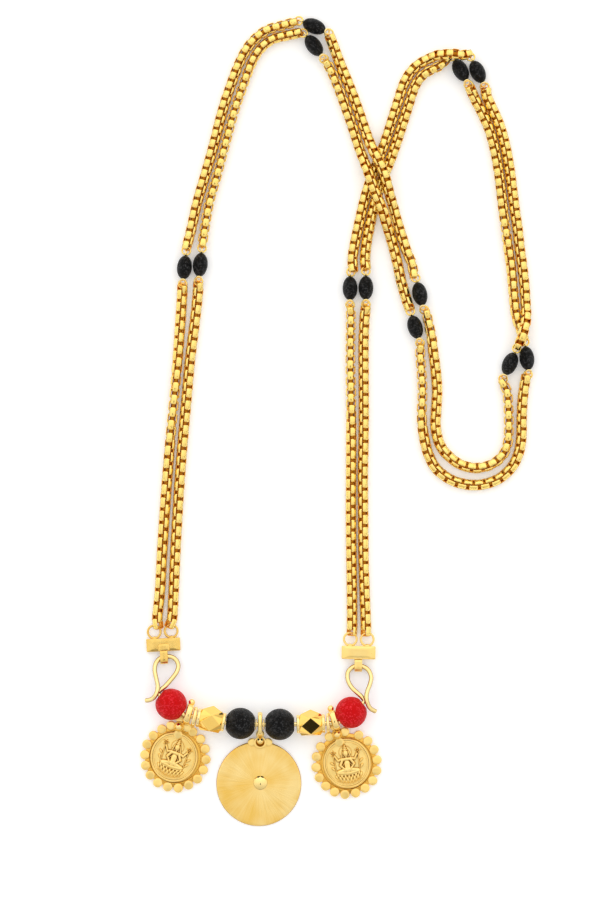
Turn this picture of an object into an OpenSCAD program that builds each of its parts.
// Thali necklace: a double box chain joined by oval beads, closed at the front by
// a string of beads on a hooked wire that carries a plain thali disc and two coins.
// It lies on a table, so every piece stands on z = 0. Lengths are in millimetres.

/* [Chain] */
// Outer width of the rounded box chain
chain_w = 2.6; // [2.2:0.1:2.6]
// Sides of the tube that stands for a run of links
chain_sides = 8; // [8:2:12]

/* [Oval beads] */
// Diameter of an oval bead
oval_d = 3.9; // [3.4:0.1:3.9]
// Length of an oval bead along its pin
oval_len = 6.2; // [5.6:0.1:6.4]
// Wire of the pin that joins bead and chain
pin_d = 0.5; // [0.4:0.05:0.6]

/* [Bead string] */
// Diameter of the round beads
round_d = 8.2; // [7.6:0.1:8.2]
// Diameter of the stiff wire and its hooks
wire_d = 1.2; // [1:0.1:1.2]
// Diameter of the hole through a threaded bead
hole_d = 1.6; // [1.5:0.1:1.8]
// Diameter of the faceted gold beads over their corners
facet_d = 7.5; // [6.5:0.1:7.6]
// Length of the faceted gold beads
facet_len = 7.4; // [7:0.1:7.5]

/* [Pendants] */
// Diameter of the plain thali disc
thali_d = 22; // [20:0.5:22]
// Thickness of the thali disc
thali_t = 0.8; // [0.6:0.1:1]
// Diameter of the medal in the middle of a coin
medal_d = 13.2; // [12:0.1:13.2]
// Flat round studs that would fill the border of a coin
stud_count = 18; // [16:1:18]
// Width of the strip that makes a coin's bail
bail_w = 1.4; // [1:0.1:1.4]

/* [End bars] */
// Width of an end bar
bar_w = 8.8; // [8:0.1:9]
// Height of an end bar
bar_h = 3.4; // [3:0.1:3.6]
// Thickness of an end bar
bar_t = 1.2; // [1:0.1:1.2]

/* [Hidden] */
$fn = 48;

gold = "goldenrod";
pale_gold = "khaki";
black = "dimgray";
red = "crimson";

chain_r = chain_w / 2;
chain_z = chain_r;
oval_z = 2;
string_z = round_d / 2;
pin_loop_r = 0.6;
pin_gap = 0.1;
pin_loop_at = oval_len / 2 + pin_gap + pin_loop_r + pin_d / 2;
chain_end_at = pin_loop_r + pin_d / 2 + 0.25;
bar_ring_r = 1.65;
bar_ring_d = 0.6;
bar_ring_at = [2.2, bar_h / 2 + bar_ring_r + bar_ring_d / 2 - 0.2];
chain_ring_gap = 0.15;

// Oval beads, in the order of the strand: x, y, direction of travel, rise at the far end,
// and how far the chain turns aside from the pin at the near and the far end
BEADS_A = [
    [-19.3, 134.1,   84,  0,   0,   0],
    [ 14.4, 196.7,  -22,  0,  38, -54],
    [ 41.8, 127.2,  -77,  0,  25,  41],
    [ 65.2, 109.1,   66,  8,   0,   0],
    [ 56.8, 184.9,  116, 10,   0,   0],
    [ 23.7, 128.7,  -90,  0, -50,   0],
];
BEADS_B = [
    [-15.2, 134.8,   84,  0,   0,   0],
    [ 14.3, 191.7,  -53,  0,  43,   0],
    [ 40.6, 118.6,  -73,  0,   0,   0],
    [ 69.6, 110.5,   97,  0, -50,   0],
    [ 52.4, 185.3,  118, -6,   0,  60],
    [ 27.8, 128.8,  -90,  0,   0,   0],
];

// End bars: x, y, turn, the side that the strap is soldered to (1 front, -1 back),
// and how far inside its ring's middle each strand ends
BAR_LEFT = [-24.8, 36.1, 3, 1, 1.1, 0];
BAR_RIGHT = [25.9, 34.1, -1, -1, 0.4, 0.4];

// The two strands lie side by side in seven stretches. Rows of a stretch:
// x, y of the middle, half the spacing, lift of strand A, lift of strand B
STRETCH_1 = [
    [-24.4,  43.5, 1.9,  0, 0], [-23.9,  50,   1.75, 0, 0], [-23.4,  60,  1.7,  0, 0],
    [-22.8,  70,   1.65, 0, 0], [-22.1,  80,   1.6,  0, 0], [-21.3,  90,  1.6,  0, 0],
    [-20.4, 100,   1.6,  0, 0], [-19.5, 110,   1.6,  0, 0], [-18.5, 120,  1.85, 0, 0],
    [-17.9, 127,   2,    0, 0],
];
STRETCH_2 = [
    [-15.9, 143.5, 1.7,  0, 0], [-14.4, 151,   1.5,  0, 0], [-12.4, 158,  1.45, 0, 0],
    [-10.2, 166,   1.4,  0, 0], [ -8.1, 174,   1.45, 0, 0], [ -5.8, 181,  1.5,  0, 0],
    [ -3.3, 187.5, 1.45, 0, 0], [ -0.9, 191.5, 1.4,  0, 0], [  2.5, 194.4, 1.4, 0, 0],
    [  6.5, 195.6, 1.4,  0, 0],
];
STRETCH_3 = [
    [20,   186,   1.4,  0,   0],   [22.1, 181,   1.4,  0,   0],
    [24.5, 174.5, 1.4,  0,   0],   [26.2, 169.5, 1.4,  0,   0],
    [27.4, 166,   1.45, 1.6, 0.2], [28.6, 163,   1.6,  2.8, 1.4],
    [30.1, 159.5, 1.8,  2.8, 2.8], [31.3, 156,   1.8,  2.8, 2.8],
    [32.4, 152.5, 1.6,  2,   2.8], [33.6, 149,   1.45, 0.5, 2.8],
    [34.6, 145.5, 1.4,  0,   1.6], [35.7, 142,   1.4,  0,   0.1],
    [36.9, 138,   1.5,  0,   0],   [38,   134.5, 1.8,  0,   0],
];
STRETCH_4 = [
    [43.6, 112,  1.7,  0, 0], [44.1, 107,  1.85, 0, 0], [44.4, 102,  1.9, 0, 0],
    [44.2,  97,  1.85, 0, 0], [44.2,  93,  1.7,  0, 0], [44.9,  89,  1.7, 0, 0],
    [46,    86,  1.95, 0, 0], [48,   83.2, 2.3,  0, 0], [51.5, 80.8, 2.3, 0, 0],
    [56.2, 79.8, 2.2,  0, 0], [60.8, 80.8, 2.1,  0, 0], [64,   83.2, 1.9, 0, 0],
    [65.8, 86.3, 1.7,  0, 0], [66.5,  90,  1.65, 0, 0], [66.6,  95,  1.65, 0, 0],
    [66.6,  99,  1.85, 0, 0], [66.6, 102,  2.15, 0, 0],
];
STRETCH_5 = [
    [68.4, 117.8, 0.35, 2.7, 0], [68.3, 119.8, 0.95, 2.1, 0], [68.1, 121.8, 1.3,  1, 0],
    [67.9, 124,   1.42, 0.1, 0], [67.5, 129,   1.5,  0,   0], [67,   134,   1.45, 0, 0],
    [66.3, 139,   1.45, 0,   0], [65.7, 144,   1.5,  0,   0], [65,   149,   1.45, 0, 0],
    [64.4, 154,   1.42, 0,   0], [63.7, 159.5, 1.4,  0,   0], [62.7, 165,   1.4,  0, 0],
    [61.2, 170.5, 1.4,  0,   0], [59,   175.5, 1.4,  0,   0], [57.8, 178,   1.5,  0, 0],
];
STRETCH_6 = [
    [46.8, 187.9, 1.3,  1.6, 0], [44.7, 187,   1.4,  0.3, 0], [42.2, 185.6, 1.4, 0, 0],
    [40.3, 183.6, 1.4,  0,   0], [38.9, 181,   1.4,  0,   0], [37.6, 177,   1.4, 0, 0],
    [36,   172,   1.4,  0,   0], [34.4, 167,   1.4,  0,   0], [32.8, 162.5, 1.4, 0, 0],
    [31,   158,   1.4,  0,   0], [29.6, 154,   1.4,  0,   0], [28.4, 149.5, 1.4, 0, 0],
    [27.4, 145,   1.4,  0,   0], [26.5, 140.5, 1.45, 0,   0], [26,   136.5, 1.6, 0, 0],
];
STRETCH_7 = [
    [25.7, 121.5, 1.8,  0, 0], [25.5, 115,   1.7,  0, 0], [25.5, 108,   1.7,  0, 0],
    [25.6, 100,   1.65, 0, 0], [25.6,  90,   1.6,  0, 0], [25.5,  81,   1.5,  0, 0],
    [25.5,  72,   1.55, 0, 0], [25.6,  60,   1.55, 0, 0], [25.8,  51,   1.6,  0, 0],
    [26,   42.5,  1.75, 0, 0],
];
STRETCHES = [STRETCH_1, STRETCH_2, STRETCH_3, STRETCH_4, STRETCH_5, STRETCH_6, STRETCH_7];

// Points that one strand alone passes before or after the rows of its stretch: x, y, z
LEAD_IN_A = [[], [], [], [[44, 120, 1.4], [44.8, 116.3, 1.3]], [[68.2, 115.9, 4.7]],
             [[52.6, 189.1, 4.1], [50.6, 189.4, 4.6], [48.4, 189.3, 3.9]], []];
LEAD_OUT_A = [[], [], [], [], [], [], []];
LEAD_IN_B = [[], [], [], [], [], [[48.5, 188.1, 1.4]], []];
LEAD_OUT_B = [[], [[9.5, 194.8, 1.6]], [[36.9, 130.9, 1.3], [38, 127, 1.4]], [], [], [], []];

// The wire: left hook from its free end, through the beads, to the right hook's free end
LEFT_HOOK = [
    [-29.5, 21.8, 5.2], [-28.5, 21.9, 5.4], [-27.5, 22.3, 5.6], [-26.8, 23.1, 5.7],
    [-26.3, 24.3, 5.5], [-26.2, 25.7, 4.7], [-26.6, 27.5, 3.4], [-27,   29.3, 2.4],
    [-26.9, 30.9, 1.7], [-26.2, 32.1, 1.4], [-25,   32.9, 1.2], [-23.7, 33.1, 1.2],
    [-22.3, 32.8, 1.3], [-21.3, 31.9, 1.5], [-20.9, 30.5, 1.8], [-21.4, 28.9, 2.3],
    [-22.7, 27.2, 2.9], [-24.3, 25.4, 3.6], [-25.6, 24.4, 4],
];
STRING = [
    [-26.2, 23.5, string_z], [-19.2, 18,   string_z], [-8.5, 16, string_z],
    [  0.3, 15.5, string_z], [  9.4, 15.6, string_z], [20.5, 15.9, string_z],
    [ 27.5, 21.5, string_z],
];
RIGHT_HOOK = [
    [26.9, 22.5, 4],   [25.6, 23.7, 3.6], [24.2, 25,   3.1], [23.3, 26.5, 2.5],
    [23,   28,   2],   [23.3, 29.3, 1.6], [24.4, 30.3, 1.3], [25.7, 30.7, 1.2],
    [26.9, 30.5, 1.2], [28.1, 29.9, 1.4], [28.9, 28.8, 1.8], [29.2, 27.4, 2.4],
    [28.8, 25.8, 3.4], [28.2, 24.3, 4.5], [27.9, 22.8, 5.4], [28.1, 21.4, 5.6],
    [28.6, 20.2, 5.4], [29.4, 19.4, 5.1], [30.5, 18.9, 4.7],
];

// Beads on the string: the span that carries each, and its middle along x
red_len = 7.6;
black_len = 7.5;
red_left_x = -22.7;
red_right_x = 23.95;
spacer_left_x = -16.75;
spacer_right_x = 17.95;
spacer_d = 5.4;
spacer_t = [0.9, 0.8];
facet_left_x = -12.35;
facet_right_x = 13.5;
black_left_x = -4.75;
black_right_x = 5.45;
centre_spacer_x = [-0.72, 1.33];
centre_spacer_d = 2.8;
centre_spacer_t = 0.35;

// Pendants: bail middle x, y, lean of the bail; coin middle x, y, lean of the coin
bail_r = 2.4;
bail_t = 0.4;
bail_z = 3.3;
bail_tail = 0.7;
bail_ball_r = 0.85;
BAIL_LEFT = [-18.2, 18.3, -16];
BAIL_RIGHT = [19.6, 16.7, 18];
BAIL_CENTRE = [0.35, 15.55, 0];
COIN_LEFT = [-21.7, 6.7, -7];
COIN_RIGHT = [22.8, 5.2, 18];
thali_bail_w = 1;
clover_at = 8.05;
stud_r = 1.17;
stud_ring_r = 8;

BEAD_NAMES = [for (s = ["a", "b"], i = [1 : 6]) str(s, i)];

// Vectors
function unit(v) = v / norm(v);
function flat_dir(angle, rise) = [cos(angle) * cos(rise), sin(angle) * cos(rise), sin(rise)];
function last(v) = v[len(v) - 1];

// Middle of span i of a smooth curve through the points p
function mid_point(p, i) =
    let (n = len(p) - 1,
         a = p[max(i - 1, 0)], b = p[i], c = p[i + 1], d = p[min(i + 2, n)])
    (9 * (b + c) - a - d) / 16;
function smooth(p) = concat(
    [for (i = [0 : len(p) - 2]) each [p[i], mid_point(p, i)]], [last(p)]);
function above(p, z) = [for (q = p) [q[0], q[1], max(q[2], z)]];

// One strand's place beside row i of a stretch; side is 1 on the left of the way
function row_dir(rows, i) =
    let (a = rows[max(i - 1, 0)], b = rows[min(i + 1, len(rows) - 1)])
    unit([b[0] - a[0], b[1] - a[1]]);
function beside(rows, i, side, lift_column) =
    let (r = rows[i], d = row_dir(rows, i))
    [r[0] - side * r[2] * d[1], r[1] + side * r[2] * d[0], chain_z + r[lift_column]];

function bead_end(bead, way) =
    [bead[0], bead[1], oval_z] + way * pin_loop_at * flat_dir(bead[2], bead[3])
    + way * chain_end_at * flat_dir(bead[2] + bead[way > 0 ? 5 : 4], bead[3]);
function turned(p, angle) = [p[0] * cos(angle) - p[1] * sin(angle),
                             p[0] * sin(angle) + p[1] * cos(angle)];
function bar_end(bar, side) =
    let (reach = bar_ring_at[1] + bar_ring_r + bar_ring_d / 2 + chain_ring_gap,
         inset = bar[side < 0 ? 4 : 5],
         p = turned([side * (bar_ring_at[0] - inset), reach], bar[2]))
    [bar[0] + p[0], bar[1] + p[1], chain_z + 0.1];

// Route of run k (1 to 7) of a strand; strand A lies left of the way up to the fourth run
function run_route(k, strand) =
    let (a = strand == "a",
         beads = a ? BEADS_A : BEADS_B,
         rows = STRETCHES[k - 1],
         side = (k <= 4 ? 1 : -1) * (a ? 1 : -1),
         start = k == 1 ? bar_end(BAR_LEFT, a ? -1 : 1) : bead_end(beads[k - 2], 1),
         finish = k == 7 ? bar_end(BAR_RIGHT, a ? -1 : 1) : bead_end(beads[k - 1], -1))
    concat([start], (a ? LEAD_IN_A : LEAD_IN_B)[k - 1],
           [for (i = [0 : len(rows) - 1]) beside(rows, i, side, a ? 3 : 4)],
           (a ? LEAD_OUT_A : LEAD_OUT_B)[k - 1], [finish]);

// A tube of n sides swept along the points p, which never run straight up
module tube(p, r, n, end_r) {
    m = len(p);
    dirs = [for (i = [0 : m - 1]) unit(p[min(i + 1, m - 1)] - p[max(i - 1, 0)])];
    sides = [for (d = dirs) unit(cross([0, 0, 1], d))];
    ring = [for (i = [0 : m - 1], j = [0 : n - 1])
        let (t = 360 * (j + 0.5) / n, size = i == 0 || i == m - 1 ? end_r : r)
        p[i] + size * (cos(t) * sides[i] + sin(t) * cross(dirs[i], sides[i]))];
    walls = [for (i = [0 : m - 2], j = [0 : n - 1])
        let (k = (j + 1) % n)
        [i * n + k, i * n + j, (i + 1) * n + j, (i + 1) * n + k]];
    caps = [[for (j = [0 : n - 1]) j], [for (j = [n - 1 : -1 : 0]) (m - 1) * n + j]];
    polyhedron(ring, concat(walls, caps), convexity = 10);
}

module chain_run(k, strand)
    color(gold) tube(above(smooth(run_route(k, strand)), chain_z), chain_r, chain_sides, chain_r / 2);

// Moves a child that lies along X to a bead's place
module at_bead(bead)
    translate([bead[0], bead[1], oval_z]) rotate([0, -bead[3], bead[2]]) children();

module oval_bead(bead) {
    steps = 12;
    hole_r = pin_d / 2 + 0.15;
    start = asin(hole_r / (oval_d / 2));
    profile = [for (i = [0 : steps])
        let (t = start + (180 - 2 * start) * i / steps)
        [oval_d / 2 * sin(t), -oval_len / 2 * cos(t)]];
    color(black) at_bead(bead) rotate([0, 90, 0])
        rotate_extrude() polygon(concat([[hole_r, last(profile)[1]], [hole_r, profile[0][1]]],
                                        [for (i = [1 : steps - 1]) profile[i]]));
}

module ring(r, wire) rotate_extrude() translate([r, 0]) circle(d = wire, $fn = 16);

module bead_pin(bead)
    color(gold) at_bead(bead) {
        half = pin_loop_at - pin_loop_r;
        rotate([0, 90, 0]) translate([0, 0, -half]) cylinder(d = pin_d, h = 2 * half);
        for (way = [-1, 1]) translate([way * pin_loop_at, 0, 0]) rotate([90, 0, 0])
            ring(pin_loop_r, pin_d);
    }

// Plate with two soldered rings above and a strap loop below; its middle plane is z = 0
strap_w = 2;
strap_t = 0.4;
strap_r = 1.2;
strap_reach = 3.3;
module strap_outline(r, start) {
    middle = bar_h / 2 + strap_reach - strap_r;
    translate([-middle, 0]) circle(r);
    translate([-middle, -r]) square([middle - start, 2 * r]);
}
module end_bar(bar) {
    plate_z = strap_t / 2;
    pad_top = 0.6;
    color(gold) translate([bar[0], bar[1], strap_r]) rotate([0, 0, bar[2]])
        mirror([0, 0, bar[3] > 0 ? 0 : 1]) {
            translate([-bar_w / 2, -bar_h / 2, -bar_t + plate_z]) cube([bar_w, bar_h, bar_t]);
            for (side = [-1, 1])
                translate([side * bar_ring_at[0], bar_ring_at[1], plate_z - bar_t / 2])
                    ring(bar_ring_r, bar_ring_d);
            rotate([90, 0, 90]) translate([0, 0, -strap_w / 2]) linear_extrude(strap_w)
                difference() {
                    strap_outline(strap_r, bar_h / 2 - 0.1);
                    strap_outline(strap_r - strap_t, bar_h / 2 + strap_t);
                }
            translate([-strap_w / 2, -bar_h / 2 - strap_t, plate_z])
                cube([strap_w, bar_h / 2 + strap_t + pad_top, strap_r - strap_t]);
        }
}

module hook_wire() {
    color(gold) tube(concat(smooth(concat(LEFT_HOOK, [STRING[0]])),
                            [for (i = [1 : len(STRING) - 2]) STRING[i]],
                            smooth(concat([last(STRING)], RIGHT_HOOK))),
                     wire_d / 2, 10, wire_d / 2);
}

// Moves a child that lies along X onto span i of the string, with its middle at x
module on_string(i, x) {
    a = STRING[i];
    b = STRING[i + 1];
    t = (x - a[0]) / (b[0] - a[0]);
    translate(a + t * (b - a)) rotate([0, 0, atan2(b[1] - a[1], b[0] - a[0])]) children();
}
module along_x(h, d) rotate([0, 90, 0]) cylinder(h = h, d = d, center = true);

module round_bead(i, x, tint, length)
    color(tint) on_string(i, x) rotate([0, 90, 0]) rotate_extrude() intersection() {
        circle(d = round_d);
        translate([hole_d / 2, -length / 2]) square([round_d, length]);
    }

module spacer(i, x, d, t)
    color(gold) on_string(i, x) difference() {
        along_x(t, d);
        along_x(t + 2, hole_d);
    }

// Five rhombic faces round the middle, each between facets that narrow to the collars
function facet_ring(x, r, n, turn) =
    [for (k = [0 : n - 1]) [x, r * sin(360 * k / n + turn), r * cos(360 * k / n + turn)]];
module faceted_bead(i, x) {
    r = facet_d / 2;
    tip_x = 2.5;
    collar_d = 4.9;
    collar_t = 0.9;
    neck_x = facet_len / 2 - collar_t;
    neck_r = collar_d / 2 - 0.1;
    points = concat(
        facet_ring(0, r, 5, 36),
        facet_ring(-tip_x, r * cos(36), 5, 72), facet_ring(tip_x, r * cos(36), 5, 72),
        facet_ring(-neck_x - 0.1, neck_r, 10, 36), facet_ring(neck_x + 0.1, neck_r, 10, 36));
    faces = [for (k = [0 : 4])
        let (c = k, d = (k + 1) % 5, low = 5 + k, high = 10 + k,
             m = 15 + 2 * k, n = 25 + 2 * k, e = 15 + 2 * d, f = 25 + 2 * d)
        each [[c, low, d, high],
              [c, high, n + 1], [c, n + 1, n], [high, d, n + 1], [d, f, n + 1],
              [low, c, m + 1], [c, m, m + 1], [d, low, m + 1], [e, d, m + 1]]];
    caps = [[for (j = [9 : -1 : 0]) 15 + j], [for (j = [0 : 9]) 25 + j]];
    color(pale_gold) on_string(i, x) difference() {
        union() {
            polyhedron(points, concat(faces, caps));
            for (way = [-1, 1]) translate([way * (facet_len - collar_t) / 2, 0, 0])
                along_x(collar_t, collar_d);
        }
        along_x(facet_len + 2, hole_d);
    }
}

// A clover of four lobes with a ball in a cup, in the pendant's own plane
module clover(lobe_r, lobe_at, cup_r, ball_r, top) {
    for (k = [0 : 3]) rotate([0, 0, 90 * k]) translate([lobe_at, 0, 0])
        cylinder(r = lobe_r, h = top);
    cylinder(r = cup_r + 0.2, h = top);
    translate([0, 0, top]) ring(cup_r, 0.45);
    translate([0, 0, top]) sphere(ball_r);
}

// A strip bent into a loop round the wire, with a tail down to the plate
module bail(place, width) {
    color(gold) translate([place[0], place[1], bail_z]) rotate([90, 0, 90 + place[2]])
        translate([0, 0, -width / 2]) {
            linear_extrude(width) difference() {
                circle(bail_r);
                circle(bail_r - bail_t);
            }
            linear_extrude(width) polygon([[-bail_r, 0.2], [-bail_r + bail_t, 0.2],
                [-bail_r - bail_tail + 0.5, 1 - bail_z], [-bail_r - bail_tail, 1 - bail_z]]);
        }
}

// Seated figure on a lotus in low relief, from plain round and straight shapes
relief = 0.3;
module figure_relief(base) translate([0, 0, base]) {
    for (k = [-2 : 2]) translate([1.5 * k, -4 + 0.12 * k * k, 0]) cylinder(r = 0.7, h = relief);
    translate([-2.3, -3.4, 0]) cube([4.6, 1, relief]);
    for (side = [-1, 1]) {
        translate([side * 2.3, -2.9, 0]) cylinder(r = 0.5, h = relief);
        translate([side * 1.1, -0.2, 0]) rotate([0, 0, side * 35]) translate([-0.3, -1.6, 0])
            cube([0.6, 2, relief]);
        translate([side * 1, 0.3, 0]) rotate([0, 0, -side * 50]) translate([-0.25, 0, 0])
            cube([0.5, 2.2, relief]);
        translate([side * 2.9, 1.9, 0]) cylinder(r = 0.55, h = relief);
    }
    translate([-1, -2.5, 0]) cube([2, 3.2, relief * 1.3]);
    translate([0, 0.4, 0]) cylinder(r = 1.1, h = relief * 1.3);
    translate([0, 2.1, 0]) cylinder(r = 1.5, h = relief * 0.7);
    translate([0, 2.1, 0]) cylinder(r = 0.85, h = relief * 2);
    translate([0, 3.1, 0]) cylinder(r = 0.5, h = relief * 2);
}

module coin(place, bail_place) {
    base_t = 0.6;
    medal_t = 1.1;
    rim_t = 1.4;
    stud_t = 1.3;
    hidden_studs = 3;
    step = 360 / stud_count;
    color(pale_gold) translate([place[0], place[1], 0]) rotate([0, 0, place[2]]) {
        cylinder(r = stud_ring_r - 0.3, h = base_t);
        cylinder(d = medal_d, h = medal_t);
        difference() {
            cylinder(d = medal_d, h = rim_t);
            cylinder(d = medal_d - 1, h = 2 * rim_t);
        }
        for (k = [0 : stud_count - hidden_studs - 1])
            rotate([0, 0, 90 + step * (k + (hidden_studs + 1) / 2)])
                translate([stud_ring_r, 0, 0]) cylinder(r = stud_r, h = stud_t);
        figure_relief(medal_t);
        translate([0, clover_at, 0])
            clover(lobe_r = 1.15, lobe_at = 1.75, cup_r = 0.95, ball_r = 0.9, top = 1.5);
    }
    bail(bail_place, bail_w);
    color(gold) translate([bail_place[0], bail_place[1], bail_z])
        rotate([0, 0, bail_place[2]]) translate([0, bail_r + 0.7, 0.3]) sphere(bail_ball_r);
}

module thali_disc() {
    boss_r = 1.83;
    boss_at = [0.4, 0.2];
    boss_curve_r = 2.6;
    clover_y = 10.9;
    clover_low = 0.4;
    color(pale_gold) {
        cylinder(d = thali_d, h = thali_t, $fn = 96);
        translate([boss_at[0], boss_at[1], 0]) intersection() {
            translate([0, 0, thali_t + 0.75 - boss_curve_r]) sphere(boss_curve_r);
            cylinder(r = boss_r, h = 3);
        }
        translate([BAIL_CENTRE[0], clover_y, clover_low])
            clover(lobe_r = 1.3, lobe_at = 1.5, cup_r = 1.2, ball_r = 0.85, top = 1.1);
    }
    bail(BAIL_CENTRE, thali_bail_w);
}

for (s = ["a", "b"], k = [1 : 7])
    chain_run(k, s);
for (s = ["a", "b"], k = [1 : 6])
    oval_bead((s == "a" ? BEADS_A : BEADS_B)[k - 1]);
for (s = ["a", "b"], k = [1 : 6])
    bead_pin((s == "a" ? BEADS_A : BEADS_B)[k - 1]);
end_bar(BAR_LEFT);  // end_bar_left
end_bar(BAR_RIGHT);  // end_bar_right
hook_wire();
round_bead(0, red_left_x, red, red_len);  // red_bead_left
round_bead(5, red_right_x, red, red_len);  // red_bead_right
round_bead(2, black_left_x, black, black_len);  // black_bead_left
round_bead(3, black_right_x, black, black_len);  // black_bead_right
faceted_bead(1, facet_left_x);  // faceted_bead_left
faceted_bead(4, facet_right_x);  // faceted_bead_right
spacer(1, spacer_left_x, spacer_d, spacer_t[0]);  // spacer_left
spacer(4, spacer_right_x, spacer_d, spacer_t[1]);  // spacer_right
spacer(2, centre_spacer_x[0], centre_spacer_d, centre_spacer_t);  // centre_spacer_left
spacer(3, centre_spacer_x[1], centre_spacer_d, centre_spacer_t);  // centre_spacer_right
coin(COIN_LEFT, BAIL_LEFT);  // coin_left
coin(COIN_RIGHT, BAIL_RIGHT);  // coin_right
thali_disc();
